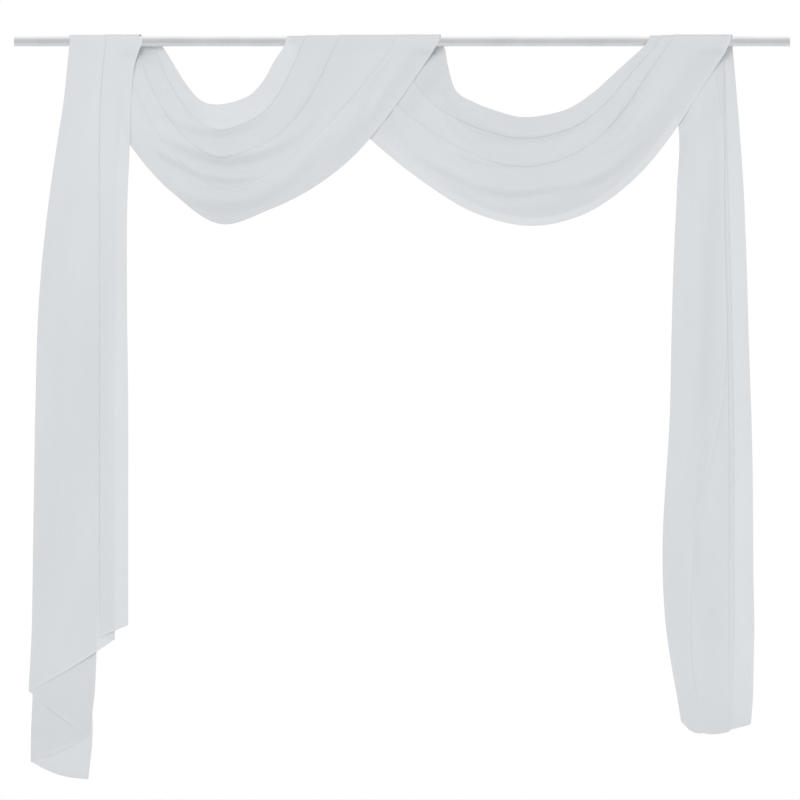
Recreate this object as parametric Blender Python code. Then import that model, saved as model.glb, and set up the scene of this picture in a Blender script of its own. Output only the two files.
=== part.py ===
"""A long sheer voile scarf wound over a plain metal rod: a tail, a swag, a second swag and a tail.

Metres, +Z up, the front of the window dressing towards -Y. The origin is on the rod's axis at
the middle of its length.

The scarf is one sheet. It was gathered lengthwise into six panels by five folds before it was
hung, so seven lines run along its whole length: its first selvedge, the five folds and its second
selvedge. The tables below say where those lines lie, from the left tail's hem to the right
tail's hem. The left tail hangs in front of the rod and goes over it to the back. Each swag
starts behind the rod, comes to the front and goes over it again, and the right tail hangs
behind. The panels never change places, so the first selvedge is on top in the left swag and
at the bottom in the right one.
"""
import math

import bmesh
import bpy
import numpy as np

CM = 0.01

# The rod
ROD_LENGTH = 2.042
ROD_RADIUS = 0.014
ROD_SIDES = 48
ROD_EDGE_BEVEL = 0.0006

# The cloth and how it lies on the rod
CLOTH_THICKNESS = 0.0010
ROD_CLEARANCE = 0.0009
SEAT_RADIUS = ROD_RADIUS + ROD_CLEARANCE + CLOTH_THICKNESS / 2

# How far apart the panels lie, packed on the rod and hanging free
TIGHT_SPACING = 0.0014
TAIL_SPACING = 0.0045
SWAG_SPACING = 0.0035
LOOSEN_OVER = 0.35
SWAG_LOOSENING = 1.4

# The mesh across a panel and along the scarf
PANELS = 6
STEPS_IN_PANEL = 4
POINTS_IN_FOLD = 1
TAIL_ROWS = 11
CROSSING_ROWS = 7
ROW_SPLIT_IN_SWAG = 2
CREASE_POINTS = 60

# Left tail, in cm: how far down, then where the seven lines are from the rod's middle.
# A row for each height.
LEFT_TAIL = (
    # drop, edge_a, fold_1, fold_2, fold_3, fold_4, fold_5, edge_b
    (0, -68.2, -77.8, -70.1, -87.4, -74.0, -86.6, -77.0),
    (5, -70.0, -78.4, -72.0, -87.9, -76.2, -87.1, -78.6),
    (15, -71.3, -79.2, -73.6, -88.9, -77.5, -88.2, -79.3),
    (28, -71.6, -79.5, -74.5, -90.9, -78.0, -90.0, -80.0),
    (42, -72.2, -79.5, -75.0, -92.9, -78.2, -91.8, -80.3),
    (68, -72.3, -79.5, -75.3, -95.5, -78.4, -94.5, -80.5),
    (95, -72.0, -79.5, -75.5, -96.4, -78.5, -95.5, -80.7),
    (130, -72.0, -79.5, -75.5, -97.0, -79.0, -96.2, -81.0),
    (160, -72.0, -79.5, -75.5, -97.6, -80.3, -96.6, -81.6),
    (171, -72.0, -79.5, -75.5, -98.2, -80.8, -97.1, -81.6),
    (183, -72.0, -79.5, -75.5, -98.2, -82.1, -97.6, -81.4),
    (195, -72.0, -79.5, -75.5, -98.2, -81.8, -97.6, -82.6),
)
LEFT_HEM_DROP = (153.6, 156.8, 157.3, 171.0, 182.9, 189.5, 194.1)

# Right tail, in the same way
RIGHT_TAIL = (
    # drop, edge_a, fold_1, fold_2, fold_3, fold_4, fold_5, edge_b
    (0, 86.6, 71.8, 84.4, 69.0, 84.8, 66.1, 82.6),
    (10, 87.8, 73.8, 84.9, 72.0, 84.7, 70.0, 82.6),
    (23, 88.9, 75.4, 85.4, 74.3, 84.9, 72.8, 84.7),
    (39, 90.0, 75.2, 85.9, 74.2, 84.9, 72.4, 84.9),
    (56, 90.7, 75.0, 86.4, 73.8, 85.3, 71.6, 85.0),
    (80, 91.4, 74.6, 87.0, 73.3, 85.8, 70.9, 85.5),
    (101, 92.1, 74.4, 87.3, 73.0, 86.1, 70.4, 83.4),
    (115, 92.4, 74.2, 87.4, 72.4, 86.1, 69.5, 80.3),
    (129, 92.5, 73.6, 87.4, 71.9, 86.1, 68.7, 77.4),
    (142, 92.6, 73.4, 87.4, 71.8, 86.1, 68.7, 76.1),
    (155, 92.8, 73.8, 87.4, 72.3, 86.1, 69.6, 75.8),
    (164, 92.6, 74.6, 87.3, 73.0, 86.1, 70.9, 76.3),
    (173, 92.4, 75.8, 87.0, 74.3, 86.1, 72.5, 77.6),
    (182, 91.6, 76.8, 86.6, 75.5, 86.1, 73.9, 79.0),
)
RIGHT_HEM_DROP = (179.8, 182.0, 181.4, 181.2, 181.8, 179.0, 182.2)

# Where the scarf goes over the rod, in cm: the first selvedge's side and the second one's,
# at the rod's front, top and back. A row for each crossing.
CROSSINGS = {
    # name: front_a, front_b, top_a, top_b, back_a, back_b
    "left": (-68.2, -87.4, -68.2, -87.4, -64.0, -85.8),
    "middle": (-30.6, 9.2, -30.0, 10.0, -28.9, 10.8),
    "right": (85.8, 64.7, 86.3, 65.5, 86.6, 66.1),
}

# How the folds divide the width where the scarf crosses the rod: 0 at the first selvedge's side
FOLDS_ON_ROD = {
    # name: edge_a, fold_1, fold_2, fold_3, fold_4, fold_5, edge_b
    "left": (0.0, 0.50, 0.10, 1.00, 0.30, 0.96, 0.46),
    "middle": (0.0, 0.38, 0.12, 0.66, 0.34, 1.00, 0.72),
    "right": (0.0, 0.72, 0.11, 0.86, 0.09, 1.00, 0.20),
}

# Left swag, in cm. Each row is one section across it, from its top edge to its bottom edge.
LEFT_SWAG = (
    # top_x, top_z, bottom_x, bottom_z
    (-62.4, -2.3, -85.0, -2.6),
    (-61.1, -4.3, -80.3, -12.3),
    (-57.4, -10.4, -72.9, -25.4),
    (-52.8, -15.6, -60.8, -39.4),
    (-48.7, -16.6, -47.6, -48.1),
    (-44.0, -15.8, -35.3, -44.5),
    (-39.8, -14.0, -23.9, -38.9),
    (-36.5, -10.4, -13.2, -30.7),
    (-33.7, -5.4, -1.1, -16.2),
    (-31.4, -2.0, 7.6, -3.6),
)
LEFT_SWAG_FOLDS = (
    # along, edge_a, fold_1, fold_2, fold_3, fold_4, fold_5, edge_b
    (0.00, 0.0, 0.50, 0.10, 1.00, 0.30, 0.96, 0.46),
    (0.25, 0.0, 0.56, 0.18, 0.90, 0.42, 1.00, 0.64),
    (0.50, 0.0, 0.60, 0.22, 0.84, 0.45, 1.00, 0.72),
    (0.75, 0.0, 0.50, 0.18, 0.76, 0.42, 1.00, 0.66),
    (1.00, 0.0, 0.38, 0.12, 0.66, 0.34, 1.00, 0.72),
)

# Right swag, in cm. The first selvedge is at its bottom, so each row goes from bottom to top.
RIGHT_SWAG = (
    # bottom_x, bottom_z, top_x, top_z
    (-27.9, -2.6, 11.4, -2.2),
    (-20.3, -14.7, 12.2, -6.8),
    (-10.5, -23.9, 14.0, -12.6),
    (4.2, -36.0, 19.0, -16.0),
    (19.7, -45.4, 25.3, -18.4),
    (33.9, -48.6, 31.1, -19.9),
    (48.2, -45.4, 37.6, -19.4),
    (60.0, -37.3, 44.0, -17.6),
    (70.0, -26.0, 50.5, -13.3),
    (78.4, -13.1, 56.8, -7.6),
    (84.8, -3.4, 62.8, -2.2),
)
RIGHT_SWAG_FOLDS = (
    # along, edge_a, fold_1, fold_2, fold_3, fold_4, fold_5, edge_b
    (0.00, 0.0, 0.38, 0.12, 0.66, 0.34, 1.00, 0.72),
    (0.25, 0.0, 0.48, 0.10, 0.74, 0.36, 1.00, 0.62),
    (0.50, 0.0, 0.54, 0.07, 0.80, 0.34, 1.00, 0.52),
    (0.75, 0.0, 0.58, 0.08, 0.80, 0.24, 1.00, 0.40),
    (1.00, 0.0, 0.72, 0.11, 0.86, 0.09, 1.00, 0.20),
)

# Soft ridges and troughs that all the panels share, in cm: how far they stand towards the room
# (troughs are negative), how far from their line they fade out, and the line, seen from the front
CREASES = {
    # part: rows of stand, reach, line of (x, z)
    "left tail": (
        (1.0, 9.0, ((-80.5, -10), (-85, -50), (-87, -100), (-88, -150), (-87, -188))),
        (-0.5, 6.8, ((-88.0, -20), (-91.5, -55), (-93, -95), (-94, -140))),
    ),
    "left swag": (
        (0.8, 8.2, ((-68.0, -16), (-58.0, -25), (-47.0, -27.5), (-37.5, -25), (-27, -15))),
        (0.9, 8.2, ((-66.0, -32), (-58, -39), (-48, -42), (-33, -37), (-20, -26), (-10, -13))),
        (-0.5, 6.8, ((-60.0, -30), (-48.0, -34.5), (-37, -31.5), (-25.0, -22))),
    ),
    "right swag": (
        (-0.7, 7.5, ((6, -12), (12, -19), (22.6, -27), (32, -29), (45, -27), (57, -19))),
        (0.9, 8.2, ((-2, -16), (6, -24), (18, -35), (33, -39), (49, -35), (62, -25), (71, -12))),
    ),
    "right tail": (
        (1.0, 8.2, ((77, -30), (75, -75), (73, -115), (73.5, -150), (76, -176))),
        (-0.6, 6.8, ((83, -35), (82, -85), (79, -125), (79, -155))),
    ),
}

# A row of the scarf is one flat list of numbers, so that rows can be blended: where its seven lines
# are, the way its panels are stacked, how far apart they lie, and its seat. The seat is 1 where
# panel six lies against the rod, -1 where panel one does, and between them in mid air.
LINES = PANELS + 1
NORMAL = 3 * LINES
SPACING = NORMAL + 3
SEAT = SPACING + 1


def smooth(keys, rows, wanted):
    """Rows of numbers at the wanted keys, on one smooth curve through the given rows."""
    keys = np.asarray(keys, float)
    rows = np.asarray(rows, float)
    slopes = np.gradient(rows, keys, axis=0)
    found = []
    for key in np.atleast_1d(wanted):
        i = int(np.clip(np.searchsorted(keys, key) - 1, 0, len(keys) - 2))
        step = keys[i + 1] - keys[i]
        t = (key - keys[i]) / step
        found.append(
            (2 * t**3 - 3 * t**2 + 1) * rows[i]
            + (t**3 - 2 * t**2 + t) * step * slopes[i]
            + (3 * t**2 - 2 * t**3) * rows[i + 1]
            + (t**3 - t**2) * step * slopes[i + 1]
        )
    return np.array(found)


def ease(value):
    """0 to 1 along a soft S."""
    value = np.clip(value, 0.0, 1.0)
    return value * value * (3 - 2 * value)


def row_of(points, normal, spacing, seat):
    """One row of the scarf as a flat list of numbers."""
    return np.concatenate([np.ravel(points), normal, [spacing, seat]])


def tail_rows(table, hem_drop, side):
    """Rows of a tail from the rod down to its hem. side is -1 in front of the rod, 1 behind it."""
    table = np.array(table)
    hem_drop = np.array(hem_drop)
    rows = []
    for share in np.linspace(0, 1, TAIL_ROWS + 1)[1:]:
        drops = hem_drop * share
        places = [smooth(table[:, 0], table[:, 1:], drop)[0][line] for line, drop in enumerate(drops)]
        points = [(x * CM, side * SEAT_RADIUS, -drop * CM) for x, drop in zip(places, drops)]
        loose = ease(drops.mean() * CM / LOOSEN_OVER)
        spacing = TIGHT_SPACING + (TAIL_SPACING - TIGHT_SPACING) * loose
        rows.append(row_of(points, (0, side, 0), spacing, 1))
    return rows


def crossing_rows(name, outward):
    """Rows over the rod from its front to its back. outward is 1 where the first panel is outermost."""
    front_a, front_b, top_a, top_b, back_a, back_b = CROSSINGS[name]
    shares = np.array(FOLDS_ON_ROD[name])
    rows = []
    front_top_back = ((front_a, front_b), (top_a, top_b), (back_a, back_b))
    for turn in np.linspace(0, math.pi, CROSSING_ROWS):
        side_a, side_b = smooth((0, math.pi / 2, math.pi), front_top_back, turn)[0] * CM
        radial = np.array((0, -math.cos(turn), math.sin(turn)))
        points = [(side_a + (side_b - side_a) * share, *(radial[1:] * SEAT_RADIUS)) for share in shares]
        rows.append(row_of(points, outward * radial, TIGHT_SPACING, outward))
    return rows


def swag_rows(sections, folds, start_seat):
    """Rows of a swag from behind the rod to its front.

    start_seat is 1 where panel six starts nearest the rod, and -1 where panel one does.
    """
    sections = np.array(sections)
    folds = np.array(folds)
    rows = []
    for i, (ax, az, bx, bz) in enumerate(sections * CM):
        along = i / (len(sections) - 1)
        shares = smooth(folds[:, 0], folds[:, 1:], along)[0]
        forward = math.cos(math.pi * along)
        start = np.array((ax, forward * SEAT_RADIUS, az))
        end = np.array((bx, forward * SEAT_RADIUS, bz))
        points = [start + (end - start) * share for share in shares]
        loose = ease(math.sin(math.pi * along) * SWAG_LOOSENING)
        spacing = TIGHT_SPACING + (SWAG_SPACING - TIGHT_SPACING) * loose
        rows.append(row_of(points, (0, start_seat, 0), spacing, start_seat * forward))
    return rows


def split_rows(rows, times):
    """The same rows with more between them, on smooth curves."""
    rows = np.array(rows)
    places = rows[:, :NORMAL].reshape(len(rows), LINES, 3).mean(axis=1)
    keys = np.concatenate([[0], np.cumsum(np.linalg.norm(np.diff(places, axis=0), axis=1))])
    between = np.linspace(0, len(rows) - 1, (len(rows) - 1) * times + 1)
    wanted = np.interp(between, np.arange(len(rows)), keys)
    return list(smooth(keys, rows, wanted))


def scarf_parts():
    """The scarf's rows from the left tail's hem to the right tail's hem, under each part's name."""
    left_tail = tail_rows(LEFT_TAIL, LEFT_HEM_DROP, -1)[::-1]
    right_tail = tail_rows(RIGHT_TAIL, RIGHT_HEM_DROP, 1)
    left_swag = split_rows(swag_rows(LEFT_SWAG, LEFT_SWAG_FOLDS, 1), ROW_SPLIT_IN_SWAG)
    right_swag = split_rows(swag_rows(RIGHT_SWAG, RIGHT_SWAG_FOLDS, -1), ROW_SPLIT_IN_SWAG)
    return (
        ("left tail", left_tail),
        ("left crossing", crossing_rows("left", 1)),
        ("left swag", left_swag),
        ("middle crossing", crossing_rows("middle", -1)),
        ("right swag", right_swag),
        ("right crossing", crossing_rows("right", 1)),
        ("right tail", right_tail),
    )


def scarf_grid(steps, fold_points):
    """The middle of the cloth's thickness: a row of points across it for each row along it."""
    grid = []
    for part, rows in scarf_parts():
        for row in rows:
            points = points_across(row, steps, fold_points)
            points[:, 1] -= towards_room(points, part)
            grid.append(points)
    return np.array(grid)


def layer_depths(row):
    """How far each panel lies along the row's normal from the lines in the tables."""
    order = np.arange(PANELS)
    seat = row[SEAT]
    return row[SPACING] * ((1 + seat) / 2 * (PANELS - 1 - order) - (1 - seat) / 2 * order)


def points_across(row, steps, fold_points):
    """The middle of the cloth's thickness along one row, as points from selvedge to selvedge."""
    lines = row[:NORMAL].reshape(LINES, 3)
    normal = row[NORMAL:SPACING] / np.linalg.norm(row[NORMAL:SPACING])
    depths = layer_depths(row)
    bend = row[SPACING] / 2
    points = []
    for panel in range(PANELS):
        start, end = lines[panel], lines[panel + 1]
        way = (end - start) / np.linalg.norm(end - start)
        first = start + way * (bend if panel > 0 else 0)
        last = end - way * (bend if panel < PANELS - 1 else 0)
        for step in range(steps + 1):
            points.append(first + (last - first) * step / steps + normal * depths[panel])
        if panel < PANELS - 1:
            middle = (depths[panel] + depths[panel + 1]) / 2
            for i in range(1, fold_points + 1):
                turn = math.pi * i / (fold_points + 1)
                depth = middle + bend * math.cos(turn)
                points.append(last + way * bend * math.sin(turn) + normal * depth)
    return np.array(points)


def crease_paths(part):
    """The part's creases as stand, reach and a smooth run of points, in metres."""
    for stand, reach, line in CREASES.get(part, ()):
        line = np.array(line) * CM
        run = smooth(np.arange(len(line)), line, np.linspace(0, len(line) - 1, CREASE_POINTS))
        yield stand * CM, reach * CM, run


def towards_room(points, part):
    """How far the creases push each point towards the room."""
    push = np.zeros(len(points))
    for stand, reach, run in crease_paths(part):
        gaps = np.linalg.norm(points[:, None, (0, 2)] - run[None], axis=2)
        nearest = gaps.argmin(axis=1)
        fade = np.sin(math.pi * nearest / (len(run) - 1))
        push += stand * fade * (1 - ease(gaps.min(axis=1) / reach))
    return push


def unit(vectors):
    return vectors / np.maximum(np.linalg.norm(vectors, axis=-1, keepdims=True), 1e-12)


def grid_normals(grid):
    """The cloth's normal at every point of the grid."""
    along = np.gradient(grid, axis=0)
    steps = unit(np.diff(grid, axis=1))
    across = np.concatenate([steps[:, :1], steps[:, :-1] + steps[:, 1:], steps[:, -1:]], axis=1)
    return unit(np.cross(along, across))


def material(name, colour, roughness, metallic=0.0, alpha=1.0):
    made = bpy.data.materials.new(name)
    made.use_nodes = True
    shader = made.node_tree.nodes["Principled BSDF"]
    shader.inputs["Base Color"].default_value = (*colour, 1)
    shader.inputs["Roughness"].default_value = roughness
    shader.inputs["Metallic"].default_value = metallic
    shader.inputs["Alpha"].default_value = alpha
    return made


def add_object(name, shape, finish):
    mesh = bpy.data.meshes.new(name)
    shape.to_mesh(mesh)
    shape.free()
    mesh.materials.append(finish)
    mesh.shade_smooth()
    made = bpy.data.objects.new(name, mesh)
    bpy.context.scene.collection.objects.link(made)
    return made


def build_rod():
    shape = bmesh.new()
    bmesh.ops.create_cone(
        shape, cap_ends=True, segments=ROD_SIDES, radius1=ROD_RADIUS, radius2=ROD_RADIUS, depth=ROD_LENGTH
    )
    rims = [edge for edge in shape.edges if abs(edge.verts[0].co.z - edge.verts[1].co.z) < ROD_RADIUS]
    bmesh.ops.bevel(shape, geom=rims, offset=ROD_EDGE_BEVEL, segments=2, affect="EDGES", profile=0.5)
    rod = add_object("rod", shape, material("rod_metal", (0.55, 0.56, 0.57), 0.3, metallic=1.0))
    rod.rotation_euler = (0, math.pi / 2, 0)
    rod.data.set_sharp_from_angle(angle=math.radians(35))
    return rod


def build_scarf():
    grid = scarf_grid(STEPS_IN_PANEL, POINTS_IN_FOLD)
    offset = grid_normals(grid) * CLOTH_THICKNESS / 2
    shape = bmesh.new()
    upper = [[shape.verts.new(point) for point in row] for row in grid + offset]
    lower = [[shape.verts.new(point) for point in row] for row in grid - offset]
    rows, columns = grid.shape[:2]
    for i in range(rows - 1):
        for j in range(columns - 1):
            shape.faces.new((upper[i][j], upper[i + 1][j], upper[i + 1][j + 1], upper[i][j + 1]))
            shape.faces.new((lower[i][j + 1], lower[i + 1][j + 1], lower[i + 1][j], lower[i][j]))
    rim = [(i, 0) for i in range(rows)]
    rim += [(rows - 1, j) for j in range(1, columns)]
    rim += [(i, columns - 1) for i in range(rows - 2, -1, -1)]
    rim += [(0, j) for j in range(columns - 2, 0, -1)]
    for (i, j), (k, m) in zip(rim, rim[1:] + rim[:1]):
        shape.faces.new((upper[k][m], upper[i][j], lower[i][j], lower[k][m]))
    bmesh.ops.recalc_face_normals(shape, faces=shape.faces)
    bmesh.ops.triangulate(shape, faces=shape.faces)
    return add_object("scarf", shape, material("voile", (0.85, 0.86, 0.88), 0.8, alpha=0.6))


def main():
    for thing in list(bpy.data.objects):
        bpy.data.objects.remove(thing, do_unlink=True)
    build_rod()
    build_scarf()


main()
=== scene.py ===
# %% [markdown]
# # A sheer voile scarf on a rod
#
# This lesson dresses one finished construction model: a plain metal rod and the long scarf that is
# wound over it. The construction model is loaded as a fixed frame. The rod keeps its own mesh and
# gets a better metal. The scarf's plain solid is replaced by a thin sheet that follows the same
# folds, with many more points, softer creases and a sheer cloth.
#
# The frame's box is kept at once, because the dressed model should keep close to it.

# %% Load the construction model
import math

import bpy
import numpy as np
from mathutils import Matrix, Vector


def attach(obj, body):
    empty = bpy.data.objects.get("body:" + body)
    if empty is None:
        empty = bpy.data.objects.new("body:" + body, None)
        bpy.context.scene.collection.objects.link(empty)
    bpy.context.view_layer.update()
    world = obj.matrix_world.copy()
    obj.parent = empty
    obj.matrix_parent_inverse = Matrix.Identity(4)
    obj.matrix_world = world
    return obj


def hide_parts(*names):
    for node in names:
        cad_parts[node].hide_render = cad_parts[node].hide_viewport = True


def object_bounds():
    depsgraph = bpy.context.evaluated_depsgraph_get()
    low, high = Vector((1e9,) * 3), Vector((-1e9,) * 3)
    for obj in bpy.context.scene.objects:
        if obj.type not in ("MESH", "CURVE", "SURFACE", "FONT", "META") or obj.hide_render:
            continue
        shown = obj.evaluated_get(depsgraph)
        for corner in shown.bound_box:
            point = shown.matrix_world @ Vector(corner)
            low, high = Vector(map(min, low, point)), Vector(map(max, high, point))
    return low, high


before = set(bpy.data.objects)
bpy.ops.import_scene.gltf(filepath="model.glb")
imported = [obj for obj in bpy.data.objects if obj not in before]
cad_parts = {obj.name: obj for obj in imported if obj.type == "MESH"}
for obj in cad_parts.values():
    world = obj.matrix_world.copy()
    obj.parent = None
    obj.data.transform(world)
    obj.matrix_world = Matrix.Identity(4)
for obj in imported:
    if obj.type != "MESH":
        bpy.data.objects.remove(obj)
frame_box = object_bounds()
scene = bpy.context.scene
print("frame:", sorted(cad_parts), frame_box)

# %% [markdown]
# ## The view
#
# A window dressing is best seen square on, from far away with a long lens, so that the tails hang
# as parallels. The picture is square. It shows a little more than the rod's length, and one metre
# takes up the same share of it everywhere in the rod's plane. The camera could be placed by eye,
# but working out its distance from the lens keeps the framing exact.

# %% Camera
PICTURE_WIDTH_M = 2.105
PICTURE_MIDDLE = (-0.0053, -0.944)
LENS_MM = 600
SENSOR_MM = 36
SEES_UP_TO_M = 200
LOOKING_LEVEL = math.pi / 2

camera_data = bpy.data.cameras.new("camera")
camera_data.lens = LENS_MM
camera_data.sensor_width = SENSOR_MM
camera_data.clip_end = SEES_UP_TO_M
camera = bpy.data.objects.new("camera", camera_data)
scene.collection.objects.link(camera)
camera_distance = PICTURE_WIDTH_M * LENS_MM / SENSOR_MM
camera.location = (PICTURE_MIDDLE[0], -camera_distance, PICTURE_MIDDLE[1])
camera.rotation_euler = (LOOKING_LEVEL, 0, 0)
scene.camera = camera
print(f"camera {camera_distance:.2f} m away")

# %% [markdown]
# ## Shader sums as plain sums
#
# A finish is worked out for each spot of a surface by a small calculation: yarns are a little denser
# here and thinner there, and a hem is denser where its edge is near. Each step of it is a node in
# Blender, and written with bare nodes one sum takes five lines. This class wraps a socket and lets
# Python's own signs add the Math nodes, also when the number comes first, as in 1 - mask.

# %% Socket sums
class Sum:
    """A socket that adds a Math node for each sign used on it."""

    def __init__(self, graph, socket):
        self.graph = graph
        self.socket = socket

    def math(self, operation, *others):
        return self.graph.node("ShaderNodeMath", {"operation": operation}, [self, *others])

    def beside(self, name):
        """Another output of the node that this one comes from."""
        return Sum(self.graph, self.socket.node.outputs[name])

    def __add__(self, other):
        return self.math("ADD", other)

    def __sub__(self, other):
        return self.math("SUBTRACT", other)

    def __mul__(self, other):
        return self.math("MULTIPLY", other)

    def __rsub__(self, other):
        return self.graph.node("ShaderNodeMath", {"operation": "SUBTRACT"}, [other, self])

    __radd__ = __add__
    __rmul__ = __mul__


print(Sum.__doc__)

# %% [markdown]
# ## The nodes of one finish
#
# Every node that isn't a sum comes from one method, which takes its type, its settings and the
# values or links of its sockets. The nodes could be placed by hand in the shader editor as well.
# Written down, they are easier to read again and to correct, and one class serves the cloth, the
# rod, the floor and the white room round them.

# %% Nodes of one finish
class Graph:
    """The nodes of one material or world, up to its finished surface or light."""

    def __init__(self, owner, last_node="Principled BSDF"):
        owner.use_nodes = True
        self.owner = owner
        self.tree = owner.node_tree
        self.last_node = self.tree.nodes[last_node]

    def node(self, kind, settings=None, inputs=(), output=0):
        made = self.tree.nodes.new(kind)
        for key, value in (settings or {}).items():
            setattr(made, key, value)
        pairs = inputs.items() if isinstance(inputs, dict) else enumerate(inputs)
        for key, value in pairs:
            self.feed(made.inputs[key], value)
        return Sum(self, made.outputs[output])

    def feed(self, socket, value):
        if isinstance(value, Sum):
            self.tree.links.new(value.socket, socket)
        else:
            socket.default_value = value

    def finish(self, **sockets):
        for name, value in sockets.items():
            self.feed(self.last_node.inputs[name.replace("_", " ")], value)
        print(f"{self.owner.name}: {len(self.tree.nodes)} nodes")
        return self.owner


print(Graph.__doc__)

# %% [markdown]
# ## Noises, steps and blends
#
# Yarns are long and thin, so their noise is stretched: a large number squeezes it across the yarn
# and a small one draws it out along it. Clouds of tone are the same noise, hardly squeezed. A
# smooth step turns a slow change into a mask. Blending two colours keeps them colours, where a sum
# of numbers would turn them grey. A Mix node's colour sockets are given by number, because they
# share their names with its other sockets. An image of real cloth would serve too, but it would
# show its seams on six metres of scarf.

# %% Noises, steps and blends
def stretched(coordinates, stretch):
    return coordinates.graph.node("ShaderNodeMapping", {}, {"Vector": coordinates, "Scale": stretch})


def noise(coordinates, scale=1.0, detail=2.0):
    sockets = {"Vector": coordinates, "Scale": scale, "Detail": detail}
    return coordinates.graph.node("ShaderNodeTexNoise", {}, sockets)


def between(value, low, high, ends=(0.0, 1.0), kind="SMOOTHSTEP"):
    """From the first end to the second as the value goes from low to high."""
    sockets = {"Value": value, "From Min": low, "From Max": high, "To Min": ends[0], "To Max": ends[1]}
    return value.graph.node("ShaderNodeMapRange", {"interpolation_type": kind}, sockets)


FIRST_COLOUR = 6
SECOND_COLOUR = 7
BLENDED_COLOUR = 2


def blend(factor, first, second):
    sockets = {"Factor": factor, FIRST_COLOUR: first, SECOND_COLOUR: second}
    return factor.graph.node("ShaderNodeMix", {"data_type": "RGBA"}, sockets, BLENDED_COLOUR)


print("helpers:", [helper.__name__ for helper in (stretched, noise, between, blend)])

# %% [markdown]
# ## How the scarf lies
#
# The scarf was gathered lengthwise into six panels by five folds before it was hung, so seven
# lines run along its whole length: its first selvedge, the five folds and its second selvedge. The
# tables are the construction's own, in centimetres from the middle of the rod's axis, because the
# sheet has to lie where its solid does. Cloth simulation could drape a scarf too, but it would not
# land in the folds that this one has, so the folds are placed and then softened.
#
# The left tail hangs in front of the rod. A row of its table says how far right of the middle each
# line lies at one drop. Its hem is stepped, because the folds end at different heights, so each
# line has its own drop there, and most panels sag a little between their two lines.

# %% Table of the left tail
CM = 0.01

LEFT_TAIL = (
    # drop, edge_a, fold_1, fold_2, fold_3, fold_4, fold_5, edge_b
    (0, -68.2, -77.8, -70.1, -87.4, -74.0, -86.6, -77.0),
    (5, -70.0, -78.4, -72.0, -87.9, -76.2, -87.1, -78.6),
    (15, -71.3, -79.2, -73.6, -88.9, -77.5, -88.2, -79.3),
    (28, -71.6, -79.5, -74.5, -90.9, -78.0, -90.0, -80.0),
    (42, -72.2, -79.5, -75.0, -92.9, -78.2, -91.8, -80.3),
    (68, -72.3, -79.5, -75.3, -95.5, -78.4, -94.5, -80.5),
    (95, -72.0, -79.5, -75.5, -96.4, -78.5, -95.5, -80.7),
    (130, -72.0, -79.5, -75.5, -97.0, -79.0, -96.2, -81.0),
    (160, -72.0, -79.5, -75.5, -97.6, -80.3, -96.6, -81.6),
    (171, -72.0, -79.5, -75.5, -98.2, -80.8, -97.1, -81.6),
    (183, -72.0, -79.5, -75.5, -98.2, -82.1, -97.6, -81.4),
    (195, -72.0, -79.5, -75.5, -98.2, -81.8, -97.6, -82.6),
)
LEFT_HEM_DROP = (153.6, 156.8, 157.3, 171.0, 182.9, 189.5, 194.1)
LEFT_HEM_SAG = (0.0, 0.0, 0.6, 0.6, 0.5, 1.2)
print(f"left tail: {len(LEFT_TAIL)} sections, {max(LEFT_HEM_DROP) * CM:.2f} m at its longest")

# %% [markdown]
# ## The right tail
#
# The right tail hangs behind the rod. It is drawn in under the rod and opens again below, and its
# hem is almost level. One long curve for each edge would do for an even tail. A table keeps this
# one as uneven as it is.

# %% Table of the right tail
RIGHT_TAIL = (
    # drop, edge_a, fold_1, fold_2, fold_3, fold_4, fold_5, edge_b
    (0, 86.9, 71.8, 84.4, 69.0, 84.8, 66.1, 82.6),
    (10, 87.8, 73.8, 84.9, 72.0, 84.7, 70.0, 82.6),
    (23, 88.9, 75.4, 85.4, 74.3, 84.9, 72.8, 84.7),
    (39, 90.0, 75.2, 85.9, 74.2, 84.9, 72.4, 84.9),
    (56, 90.7, 75.0, 86.4, 73.8, 85.3, 71.6, 85.0),
    (80, 91.4, 74.6, 87.0, 73.3, 85.8, 70.9, 85.5),
    (101, 92.1, 74.4, 87.3, 73.0, 86.1, 70.4, 83.4),
    (115, 92.4, 74.2, 87.4, 72.4, 86.1, 69.5, 80.3),
    (129, 92.5, 73.6, 87.4, 71.9, 86.1, 68.7, 77.4),
    (142, 92.6, 73.4, 87.4, 71.8, 86.1, 68.7, 76.1),
    (155, 92.8, 73.8, 87.4, 72.3, 86.1, 69.6, 75.8),
    (164, 92.6, 74.6, 87.3, 73.0, 86.1, 70.9, 76.3),
    (173, 92.4, 75.8, 87.0, 74.3, 86.1, 72.5, 77.6),
    (182, 91.6, 76.8, 86.6, 75.5, 86.1, 73.9, 79.0),
)
RIGHT_HEM_DROP = (179.8, 182.0, 181.4, 181.2, 181.8, 179.0, 182.2)
RIGHT_HEM_SAG = (0.7, 0.2, 0.3, 0.3, 1.8, 1.0)
print(f"right tail: {len(RIGHT_TAIL)} sections, {max(RIGHT_HEM_DROP) * CM:.2f} m at its longest")

# %% [markdown]
# ## The turns over the rod
#
# The scarf crosses the rod three times, pulled tight. There the folds lie where they please between
# the two sides of the bundle, so each is given as a share of the bundle's width, from side a to
# side b. The sides themselves are given in front of the rod, on top of it and behind it. They and
# the right tail's first section differ from the construction's by a few millimetres, to follow
# the real outline there. Equal shares would be simpler, but the folds would then look pleated by
# machine.

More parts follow.
